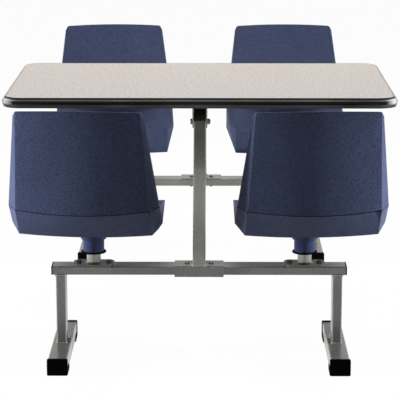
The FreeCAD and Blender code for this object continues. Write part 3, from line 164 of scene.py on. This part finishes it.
def mixed(tree, factor, first, second, blend="MIX"):
    """Two colours mixed or blended; each argument is a number, a colour or a socket."""
    node = tree.nodes.new("ShaderNodeMix")
    node.data_type = "RGBA"
    node.blend_type = blend
    colour_a, colour_b = [i for i in node.inputs if i.type == "RGBA"]
    for target, value in ((node.inputs["Factor"], factor), (colour_a, first), (colour_b, second)):
        if isinstance(value, tuple):
            target.default_value = tuple(value) + (1.0,)
        elif isinstance(value, (int, float)):
            target.default_value = value
        else:
            tree.links.new(value, target)
    return [o for o in node.outputs if o.type == "RGBA"][0]


def bumped(tree, shader, height, strength, distance, soft_edge=None):
    """Relief on the shader's normal, over edges softened by a radius where one is given."""
    bump = tree.nodes.new("ShaderNodeBump")
    bump.inputs["Strength"].default_value = strength
    bump.inputs["Distance"].default_value = distance
    tree.links.new(height, bump.inputs["Height"])
    if soft_edge:
        bevel = tree.nodes.new("ShaderNodeBevel")
        bevel.samples = 4
        bevel.inputs["Radius"].default_value = soft_edge
        tree.links.new(bevel.outputs["Normal"], bump.inputs["Normal"])
    tree.links.new(bump.outputs["Normal"], shader.inputs["Normal"])


def worn_edges(tree, radius):
    """Where an edge is within the radius, from the turn of a bevelled normal."""
    bevel = tree.nodes.new("ShaderNodeBevel")
    bevel.samples = 6
    bevel.inputs["Radius"].default_value = radius
    turn = tree.nodes.new("ShaderNodeVectorMath")
    turn.operation = "DOT_PRODUCT"
    tree.links.new(bevel.outputs["Normal"], turn.inputs[0])
    tree.links.new(tree.nodes.new("ShaderNodeNewGeometry").outputs["Normal"], turn.inputs[1])
    return mapped(tree, turn.outputs["Value"], 0.80, 0.99, 1.0, 0.0)


# ---------------------------------------------------------------- the materials

def moulded_plastic(name, dark, light, grain, depth, rough, strength, specular=0.5, contrast=0.80):
    """Moulded plastic with a leather grain of two sizes and slight colour drift."""
    mat, tree, shader = new_material(name)
    where = coordinates(tree)
    drift = noise(tree, where, 5.0, 3.0)
    fine = noise(tree, where, grain * 2.2, 2.0)
    tint = ramp(tree, drift, [(0.3, dark), (0.7, light)])
    warp = noise(tree, where, grain * 1.3, 2.0, 0.6)
    pits = cells(tree, where, grain)
    small = cells(tree, where, grain * 2.3)
    shade = ramp(tree, pits, [(0.0, (contrast,) * 3), (0.22, (1.0, 1.0, 1.0))])
    fleck = ramp(tree, warp, [(0.30, (contrast,) * 3), (0.70, (2.0 - contrast,) * 3)])
    tint = mixed(tree, 1.0, mixed(tree, 1.0, tint, shade, "MULTIPLY"), fleck, "MULTIPLY")
    tree.links.new(tint, shader.inputs["Base Color"])
    tree.links.new(mapped(tree, fine, 0.3, 0.7, rough[0], rough[1]), shader.inputs["Roughness"])
    shader.inputs["Specular IOR Level"].default_value = specular
    height = tree.nodes.new("ShaderNodeMath")
    height.operation = "MULTIPLY_ADD"
    tree.links.new(small, height.inputs[0])
    height.inputs[1].default_value = 0.5
    tree.links.new(pits, height.inputs[2])
    bumped(tree, shader, height.outputs["Value"], strength, depth, 0.0015)
    return mat


def laminate(name):
    """Beige laminate with a fine mottle and tiny darker specks."""
    mat, tree, shader = new_material(name)
    where = coordinates(tree)
    cloud = noise(tree, where, 95.0, 6.0, 0.80)
    speck = noise(tree, where, 300.0, 2.0, 0.6)
    base = ramp(tree, cloud, [(0.37, (0.440, 0.388, 0.354)), (0.63, (0.722, 0.657, 0.610))])
    dots = ramp(tree, speck, [(0.38, (0.55, 0.52, 0.50)), (0.48, (1.0, 1.0, 1.0))])
    tree.links.new(mixed(tree, 1.0, base, dots, "MULTIPLY"), shader.inputs["Base Color"])
    tree.links.new(mapped(tree, cloud, 0.3, 0.7, 0.42, 0.52), shader.inputs["Roughness"])
    bumped(tree, shader, speck, 0.12, 0.0001)
    return mat


def vinyl(name):
    """Black extruded vinyl with painted light: a painted highlight band along the shoulder, painted
    highlights at the corners and a painted grey reflection low down.
    """
    mat, tree, shader = new_material(name)
    where = coordinates(tree)
    split = tree.nodes.new("ShaderNodeSeparateXYZ")
    tree.links.new(where, split.inputs["Vector"])
    share = mapped(tree, split.outputs["Z"], BUMPER_LOW, BUMPER_HIGH, 0.0, 1.0)
    black = (0.0022, 0.0022, 0.0022)
    # Colour by height up the bumper: a painted reflection of the floor low down, then black, a painted
    # highlight band at the shoulder, and black at the top lip.
    profile = ramp(tree, share, [(0.03, (0.026, 0.026, 0.025)), (0.30, (0.034, 0.034, 0.033)),
                                 (0.42, black), (0.67, black),
                                 (0.775, (0.140, 0.140, 0.136)), (0.87, black)])
    # Painted highlights at the bumper's corners, in place of reflected lamp light.
    painted_end_highlight = ramp(tree, share, [(0.28, black), (0.45, (0.26, 0.26, 0.26)),
                                 (0.80, (0.34, 0.34, 0.34)), (0.92, black)])
    highlight_reach = tree.nodes.new("ShaderNodeMath")
    highlight_reach.operation = "MULTIPLY"
    for index, (axis, near, far) in enumerate(BUMPER_END_HIGHLIGHT):
        reach = tree.nodes.new("ShaderNodeMath")
        reach.operation = "ABSOLUTE"
        tree.links.new(split.outputs[axis], reach.inputs[0])
        tree.links.new(mapped(tree, reach.outputs["Value"], near, far, 0.0, 1.0), highlight_reach.inputs[index])
    profile = mixed(tree, highlight_reach.outputs["Value"], profile, painted_end_highlight)
    drift = noise(tree, where, 6.0, 4.0)
    wear = ramp(tree, drift, [(0.30, (0.62, 0.62, 0.62)), (0.70, (1.30, 1.30, 1.30))])
    scuffs = noise(tree, where, 260.0, 3.0)
    fine = ramp(tree, scuffs, [(0.30, (0.85, 0.85, 0.85)), (0.70, (1.12, 1.12, 1.12))])
    tint = mixed(tree, 1.0, mixed(tree, 1.0, profile, wear, "MULTIPLY"), fine, "MULTIPLY")
    tree.links.new(tint, shader.inputs["Base Color"])
    tree.links.new(mapped(tree, drift, 0.3, 0.7, 0.16, 0.24), shader.inputs["Roughness"])
    shader.inputs["Specular IOR Level"].default_value = 0.12
    bumped(tree, shader, noise(tree, where, 40.0, 2.0), 0.10, 0.0006)
    return mat


def coated(name, dark, light, metallic, rough, edge=(0.34, 0.34, 0.33), soft=0.0012):
    """Powder-coated steel: fine metallic fleck, orange peel and slightly rubbed edges."""
    mat, tree, shader = new_material(name)
    where = coordinates(tree)
    fleck = noise(tree, where, 340.0, 2.0, 0.7)
    cloud = noise(tree, where, 9.0, 4.0)
    base = ramp(tree, cloud, [(0.3, dark), (0.7, light)])
    sparkle = ramp(tree, fleck, [(0.35, (0.80, 0.80, 0.80)), (0.65, (1.20, 1.20, 1.20))])
    tint = mixed(tree, 1.0, base, sparkle, "MULTIPLY")
    rub = mapped(tree, worn_edges(tree, soft), 0.0, 1.0, 0.0, 0.5)
    tree.links.new(mixed(tree, rub, tint, edge), shader.inputs["Base Color"])
    shader.inputs["Metallic"].default_value = metallic
    shader.inputs["Specular IOR Level"].default_value = 0.3
    tree.links.new(mapped(tree, cloud, 0.3, 0.7, rough - 0.02, rough + 0.03), shader.inputs["Roughness"])
    bumped(tree, shader, noise(tree, where, 700.0, 2.0), 0.12, 0.00025, soft)
    return mat


def bright_metal(name, dark, light, rough):
    """Zinc-plated or ground steel with fine tool marks."""
    mat, tree, shader = new_material(name)
    where = coordinates(tree)
    marks = noise(tree, where, 320.0, 3.0, 0.6, (1.0, 1.0, 12.0))
    cloud = noise(tree, where, 60.0, 3.0)
    tree.links.new(ramp(tree, cloud, [(0.3, dark), (0.7, light)]), shader.inputs["Base Color"])
    shader.inputs["Metallic"].default_value = 1.0
    tree.links.new(mapped(tree, marks, 0.3, 0.7, rough[0], rough[1]), shader.inputs["Roughness"])
    bumped(tree, shader, marks, 0.2, 0.00015, 0.0005)
    return mat


def particle_board(name):
    """Pressed wood chips, for the core that the laminate and the bumper hide."""
    mat, tree, shader = new_material(name)
    where = coordinates(tree)
    chips = cells(tree, where, 320.0, "F1")
    cloud = noise(tree, where, 150.0, 4.0)
    tint = ramp(tree, cloud, [(0.3, (0.34, 0.22, 0.12)), (0.7, (0.58, 0.43, 0.27))])
    chip_tint = ramp(tree, chips, [(0.1, (0.25, 0.16, 0.09)), (0.5, (0.7, 0.55, 0.36))])
    tree.links.new(mixed(tree, 0.35, tint, chip_tint), shader.inputs["Base Color"])
    shader.inputs["Roughness"].default_value = 0.85
    bumped(tree, shader, chips, 0.5, 0.0006)
    return mat


def pedestal_finish(name):
    """Grey coated base plate below, zinc-plated post above it."""
    mat, tree, shader = new_material(name)
    where = coordinates(tree)
    split = tree.nodes.new("ShaderNodeSeparateXYZ")
    tree.links.new(where, split.inputs["Vector"])
    post = mapped(tree, split.outputs["Z"], POST_FOOT[0], POST_FOOT[1], 0.0, 1.0)
    cloud = noise(tree, where, 25.0, 4.0)
    marks = noise(tree, where, 260.0, 3.0, 0.6, (6.0, 6.0, 0.6))
    coat = ramp(tree, cloud, [(0.3, (0.070, 0.072, 0.066)), (0.7, (0.095, 0.097, 0.090))])
    zinc = ramp(tree, cloud, [(0.3, (0.18, 0.18, 0.162)), (0.7, (0.24, 0.24, 0.216))])
    tree.links.new(mixed(tree, post, coat, zinc), shader.inputs["Base Color"])
    tree.links.new(mapped(tree, post, 0.0, 1.0, 0.6, 0.55), shader.inputs["Metallic"])
    tree.links.new(mapped(tree, post, 0.0, 1.0, 0.24, 0.48), shader.inputs["Roughness"])
    bumped(tree, shader, marks, 0.15, 0.0002, 0.001)
    return mat


navy = moulded_plastic("seat_navy", (0.0352, 0.0440, 0.0855), (0.0412, 0.0514, 0.0985), grain=250.0,
                       depth=0.0018, rough=(0.42, 0.54), strength=0.85, specular=0.05, contrast=0.60)
# Lighter navy for the rounded edges: a painted rim highlight.
navy_edge_highlight = moulded_plastic("seat_navy_edge_highlight", (0.062, 0.073, 0.125), (0.076, 0.088, 0.148),
                            grain=250.0, depth=0.0008, rough=(0.34, 0.44), strength=0.5,
                            specular=0.25)
# Much darker navy for the fold's groove: painted shade in the crease.
navy_groove_shade = moulded_plastic("seat_navy_groove_shade", (0.0090, 0.0120, 0.030), (0.0120, 0.0160, 0.038),
                              grain=250.0, depth=0.0004, rough=(0.50, 0.62), strength=0.3,
                              specular=0.05)
black_cap = moulded_plastic("cap_black", (0.0012, 0.0012, 0.0013), (0.0022, 0.0022, 0.0024),
                            grain=1100.0, depth=0.0002, rough=(0.62, 0.74), strength=0.35,
                            specular=0.012)
blue_sleeve = moulded_plastic("sleeve_blue", (0.0150, 0.0200, 0.050), (0.0200, 0.0260, 0.062),
                              grain=1400.0, depth=0.0001, rough=(0.42, 0.52), strength=0.2,
                              specular=0.12)
bearing = moulded_plastic("bearing_natural", (0.62, 0.60, 0.54), (0.74, 0.72, 0.67), grain=1500.0,
                          depth=0.0001, rough=(0.35, 0.45), strength=0.15)
grey_coat = coated("frame_grey_coat", (0.126, 0.130, 0.120), (0.153, 0.157, 0.146),
                   metallic=0.46, rough=0.27)
weld = coated("weld_bead_coat", (0.19, 0.195, 0.182), (0.25, 0.256, 0.242),
              metallic=0.50, rough=0.38, edge=(0.27, 0.27, 0.26), soft=0.0004)
black_coat = coated("hub_black_coat", (0.014, 0.014, 0.015), (0.024, 0.024, 0.026),
                    metallic=0.3, rough=0.45, edge=(0.12, 0.12, 0.12))
zinc = bright_metal("fastener_zinc", (0.075, 0.075, 0.073), (0.120, 0.120, 0.116), (0.14, 0.22))
ground = bright_metal("pin_ground", (0.42, 0.42, 0.42), (0.55, 0.55, 0.55), (0.15, 0.28))
backer = laminate("backer_sheet")
FINISH = {
    "particle_board": particle_board("core_board"),
    "laminate": laminate("top_beige_laminate"),
    "backer": backer,
    "bumper_vinyl": vinyl("bumper_black_vinyl"),
    "frame_coat": grey_coat,
    "pedestal_steel": pedestal_finish("pedestal_coat"),
    "hub_steel": black_coat,
    "zinc_fastener": zinc,
    "pin_steel": ground,
    "black_cap": black_cap,
    "bearing_plastic": bearing,
    "seat_plastic": navy,
    "sleeve_plastic": blue_sleeve,
}


def dress(obj, mat):
    """One material on every face of a piece."""
    obj.data.materials.clear()
    obj.data.materials.append(mat)
    for face in obj.data.polygons:
        face.material_index = 0


slots = {part["node"]: part["material_slot"] for part in frame["record"]["subparts"]}
for name, node in frame["nodes"].items():
    dress(node, FINISH[slots[name]])


# ---------------------------------------------------------------- seat shells with soft edges

def new_piece(name, data):
    """An object from a mesh, a lamp or a camera, linked to the scene."""
    piece = bpy.data.objects.new(name, data)
    bpy.context.scene.collection.objects.link(piece)
    return piece


def rear_of(mesh, pivot):
    """The level direction from the swivel axis to the seat's backrest."""
    high = [v.co for v in mesh.vertices if v.co.z > BACKREST_ABOVE]
    middle = sum(high, Vector()) / len(high) - Vector((pivot[0], pivot[1], 0.0))
    middle.z = 0.0
    return middle.normalized()


def is_fold(edge, rear):
    """An outer edge between the rear panels and the skirt below them."""
    low, high = FOLD_HEIGHTS
    if len(edge.link_faces) != 2 or not all(low < v.co.z < high for v in edge.verts):
        return False
    upper, lower = sorted(edge.link_faces, key=lambda f: -f.calc_center_median().z)
    faces_back = min(upper.normal.dot(rear), lower.normal.dot(rear)) > FOLD_FACES_BACK
    return faces_back and lower.normal.z < upper.normal.z - FOLD_STEEPER


def softened_shell(node, seat):
    """The moulded shell with rounded edges in a lighter painted highlight and a fine groove along its
    fold in a darker painted shade.
    """
    mesh = node.data.copy()
    mesh.name = "seat_mould_" + seat
    piece = new_piece("seat_mould_" + seat, mesh)
    rear = rear_of(mesh, PIVOTS[seat])
    work = bmesh.new()
    work.from_mesh(mesh)
    bmesh.ops.remove_doubles(work, verts=work.verts, dist=SAME_POINT)
    bmesh.ops.dissolve_limit(work, angle_limit=FLAT_TURN, verts=work.verts, edges=work.edges)
    work.normal_update()
    sharp = [e for e in work.edges if len(e.link_faces) == 2
             and e.calc_face_angle(0.0) > SHARP_TURN and not is_fold(e, rear)]
    rounded = bmesh.ops.bevel(work, geom=sharp, offset=EDGE_OFFSET, offset_type="OFFSET", segments=3,
                              profile=0.5, affect="EDGES", clamp_overlap=True)
    work.normal_update()
    for face in work.faces:
        face.smooth = True
        face.material_index = PANEL
    # The rounded edges take the lighter material: a painted highlight along them.
    for face in rounded["faces"]:
        face.material_index = EDGE_HIGHLIGHT
    fold = [e for e in work.edges if is_fold(e, rear) and e.calc_face_angle(0.0) > FOLD_TURN]
    made = bmesh.ops.bevel(work, geom=fold, offset=GROOVE_WIDTH / 2, offset_type="OFFSET",
                           segments=2, profile=0.5, affect="EDGES", clamp_overlap=True)
    work.normal_update()
    walls = set(made["faces"])
    for vert in made["verts"]:
        if all(face in walls for face in vert.link_faces):
            vert.co -= vert.normal * GROOVE_DEPTH
    # The groove's walls take the dark material: painted shade in the crease.
    for face in walls:
        face.smooth = False
        face.material_index = GROOVE_SHADE
        for edge in face.edges:
            edge.smooth = False
    mesh.materials.clear()
    for mat in (navy, navy_groove_shade, navy_edge_highlight):
        mesh.materials.append(mat)
    work.to_mesh(mesh)
    work.free()
    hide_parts("seat_shell_" + seat)
    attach(piece, "seat_" + seat)


for seat in PIVOTS:
    softened_shell(frame["nodes"]["seat_shell_" + seat], seat)


# ---------------------------------------------------------------- struts that reach the plate

def reaching_strut(end):
    """The strut's tube drawn on past its bolt, between the ears, up to the plate."""
    node = frame["nodes"]["strut_" + end]
    mesh = node.data.copy()
    mesh.name = "strut_tube_" + end
    piece = new_piece("strut_tube_" + end, mesh)
    level_faces = [f for f in mesh.polygons if abs(f.normal.x) < 0.01]
    broad = max(level_faces, key=lambda f: f.area).normal
    along = Vector((0.0, -broad.z, broad.y)).normalized()
    along *= math.copysign(1.0, along.z)
    top = max(v.co.dot(along) for v in mesh.vertices)
    for vert in mesh.vertices:
        if vert.co.dot(along) > top - END_PLANE:
            vert.co += along * ((PLATE_UNDERSIDE - vert.co.z) / along.z)
    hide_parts("strut_" + end)
    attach(piece, "frame")


for end in ("front", "back"):
    reaching_strut(end)


# ---------------------------------------------------------------- flared collars and weld beads

def loop_of_rings(name, rings):
    """A closed smooth piece from rings of points, each joined to the next and the last to the first."""
    mesh = bpy.data.meshes.new(name)
    piece = new_piece(name, mesh)
    work = bmesh.new()
    rings = [[work.verts.new(point) for point in ring] for ring in rings]
    for index, ring in enumerate(rings):
        after = rings[(index + 1) % len(rings)]
        for here in range(len(ring)):
            beside = (here + 1) % len(ring)
            work.faces.new((ring[here], ring[beside], after[beside], after[here]))
    bmesh.ops.recalc_face_normals(work, faces=work.faces)
    for face in work.faces:
        face.smooth = True
    work.to_mesh(mesh)
    work.free()
    return piece


def closed_tube(name, path, radii):
    """A tube along a closed level path of points, with its own radius at each."""
    up = Vector((0.0, 0.0, 1.0))
    rings = []
    for index, point in enumerate(path):
        ahead = (path[(index + 1) % len(path)] - path[index - 1]).normalized()
        out = ahead.cross(up)
        ring = []
        for side in range(WELD_SIDES):
            turn = 2 * math.pi * side / WELD_SIDES
            offset = out * math.cos(turn) + up * math.sin(turn)
            ring.append(point + offset * radii[index])
        rings.append(ring)
    return loop_of_rings(name, rings)


def weld_bead(name, low, high, level, radius):
    """A rippled bead round a tube's rectangle, given by its low and high corners, at a level."""
    path = []
    arcs = ((high[0], high[1], 0), (low[0], high[1], 1), (low[0], low[1], 2), (high[0], low[1], 3))
    for x, y, quarter in arcs:
        centre = Vector((x - WELD_CORNER * (1 if quarter in (0, 3) else -1),
                         y - WELD_CORNER * (1 if quarter in (0, 1) else -1), level))
        for step in range(4):
            turn = math.pi / 2 * (quarter + step / 3)
            path.append(centre + WELD_CORNER * Vector((math.cos(turn), math.sin(turn), 0.0)))
    dense = []
    for index, point in enumerate(path):
        after = path[(index + 1) % len(path)]
        count = max(1, round((after - point).length / WELD_STEP))
        dense += [point.lerp(after, step / count) for step in range(count)]
    radii = [radius * (1.0 + 0.22 * math.sin(1.9 * k) + 0.08 * math.sin(0.37 * k + 1.0))
             for k in range(len(dense))]
    piece = closed_tube(name, dense, radii)
    dress(piece, weld)
    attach(piece, "frame")


def sleeve_collar(seat):
    """The sleeve's flared mouth, where it meets the underside of the seat."""
    x, y = PIVOTS[seat]
    rings = []
    for step in range(COLLAR_STEPS):
        turn = 2 * math.pi * step / COLLAR_STEPS
        rings.append([(x + r * math.cos(turn), y + r * math.sin(turn), z) for r, z in COLLAR_SECTION])
    piece = loop_of_rings("sleeve_collar_" + seat, rings)
    dress(piece, blue_sleeve)
    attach(piece, "seat_" + seat)


def weld_beads():
    """Beads at both ends of each leg and at the foot of each strut."""
    for end, along in (("front", -1), ("back", 1)):
        for side, across in (("left", -1), ("right", 1)):
            leg_x = sorted(across * x for x in LEG_X)
            leg_y = sorted(along * y for y in LEG_Y)
            for place, level, radius in LEG_WELDS:
                weld_bead("weld_leg_%s_%s_%s" % (place, end, side), (leg_x[0], leg_y[0]),
                          (leg_x[1], leg_y[1]), level, radius)
        strut_y = sorted(along * y for y in STRUT_Y)
        weld_bead("weld_strut_" + end, (STRUT_X[0], strut_y[0]), (STRUT_X[1], strut_y[1]), *STRUT_WELD)


for seat in PIVOTS:
    sleeve_collar(seat)
weld_beads()


# ---------------------------------------------------------------- floor, light and camera

def seen_directly(tree):
    """One where a ray comes from the camera, a mirror or glass, and zero for diffuse light."""
    path = tree.nodes.new("ShaderNodeLightPath")
    total = path.outputs["Is Camera Ray"]
    for kind in ("Is Glossy Ray", "Is Transmission Ray"):
        most = tree.nodes.new("ShaderNodeMath")
        most.operation = "MAXIMUM"
        tree.links.new(total, most.inputs[0])
        tree.links.new(path.outputs[kind], most.inputs[1])
        total = most.outputs[0]
    return total


def floor():
    """A white ground that shows its glow directly and throws back a plain grey as diffuse light."""
    bpy.ops.mesh.primitive_plane_add(size=FLOOR_SIZE, location=(0.0, 6.0, 0.0))
    plane = bpy.context.object
    plane.name = "floor"
    mat = bpy.data.materials.new("floor_white")
    mat.use_nodes = True
    tree = mat.node_tree
    tree.nodes.clear()
    out = tree.nodes.new("ShaderNodeOutputMaterial")
    plain = tree.nodes.new("ShaderNodeBsdfDiffuse")
    glow = tree.nodes.new("ShaderNodeEmission")
    glow.inputs["Color"].default_value = WHITE
    glow.inputs["Strength"].default_value = 1.0
    seen = seen_directly(tree)
    tree.links.new(mixed(tree, seen, FLOOR_BOUNCE, FLOOR_WHITE), plain.inputs["Color"])
    share = tree.nodes.new("ShaderNodeMath")
    share.operation = "MULTIPLY"
    share.inputs[1].default_value = FLOOR_GLOW
    tree.links.new(seen, share.inputs[0])
    mix = tree.nodes.new("ShaderNodeMixShader")
    tree.links.new(share.outputs[0], mix.inputs["Fac"])
    tree.links.new(plain.outputs[0], mix.inputs[1])
    tree.links.new(glow.outputs[0], mix.inputs[2])
    tree.links.new(mix.outputs[0], out.inputs["Surface"])
    plane.data.materials.append(mat)


def sky():
    """A world that looks white directly and lights the object only faintly."""
    world = bpy.data.worlds.new("studio")
    bpy.context.scene.world = world
    world.use_nodes = True
    tree = world.node_tree
    tree.nodes.clear()
    out = tree.nodes.new("ShaderNodeOutputWorld")
    soft = tree.nodes.new("ShaderNodeBackground")
    soft.inputs["Color"].default_value = WHITE
    soft.inputs["Strength"].default_value = SKY_FILL
    white = tree.nodes.new("ShaderNodeBackground")
    white.inputs["Color"].default_value = WHITE
    white.inputs["Strength"].default_value = 1.0
    mix = tree.nodes.new("ShaderNodeMixShader")
    tree.links.new(seen_directly(tree), mix.inputs["Fac"])
    tree.links.new(soft.outputs[0], mix.inputs[1])
    tree.links.new(white.outputs[0], mix.inputs[2])
    tree.links.new(mix.outputs[0], out.inputs["Surface"])


def lamp(name, power, size, place, aim, mirrored=True):
    """A soft area lamp; a side lamp isn't mirrored, so it leaves no glare at a flat angle."""
    data = bpy.data.lights.new(name, "AREA")
    data.energy = power
    data.shape = "RECTANGLE"
    data.size, data.size_y = size
    obj = new_piece(name, data)
    obj.location = place
    obj.rotation_euler = (Vector(aim) - Vector(place)).to_track_quat("-Z", "Y").to_euler()
    obj.visible_glossy = mirrored


def camera():
    """The photograph's view, as fitted to it."""
    data = bpy.data.cameras.new("photo_view")
    data.sensor_width = CAMERA_SENSOR
    data.lens = CAMERA_LENS
    data.clip_end = 100.0
    obj = new_piece("photo_view", data)
    obj.location = CAMERA_PLACE
    obj.rotation_euler = CAMERA_TURN
    bpy.context.scene.camera = obj


floor()
sky()
lamp("left", 1440.0, (0.6, 0.9), (-4.8, -1.05, 0.62), (-3.8, -2.15, 0.60), mirrored=False)
lamp("right", 1200.0, (0.6, 0.9), (4.8, -0.85, 0.62), (3.8, -1.95, 0.60), mirrored=False)
lamp("top", 150.0, (4.5, 2.8), (0.0, 1.0, 4.0), (0.0, 0.1, 0.4))
camera()
bpy.context.scene.view_settings.view_transform = "Standard"
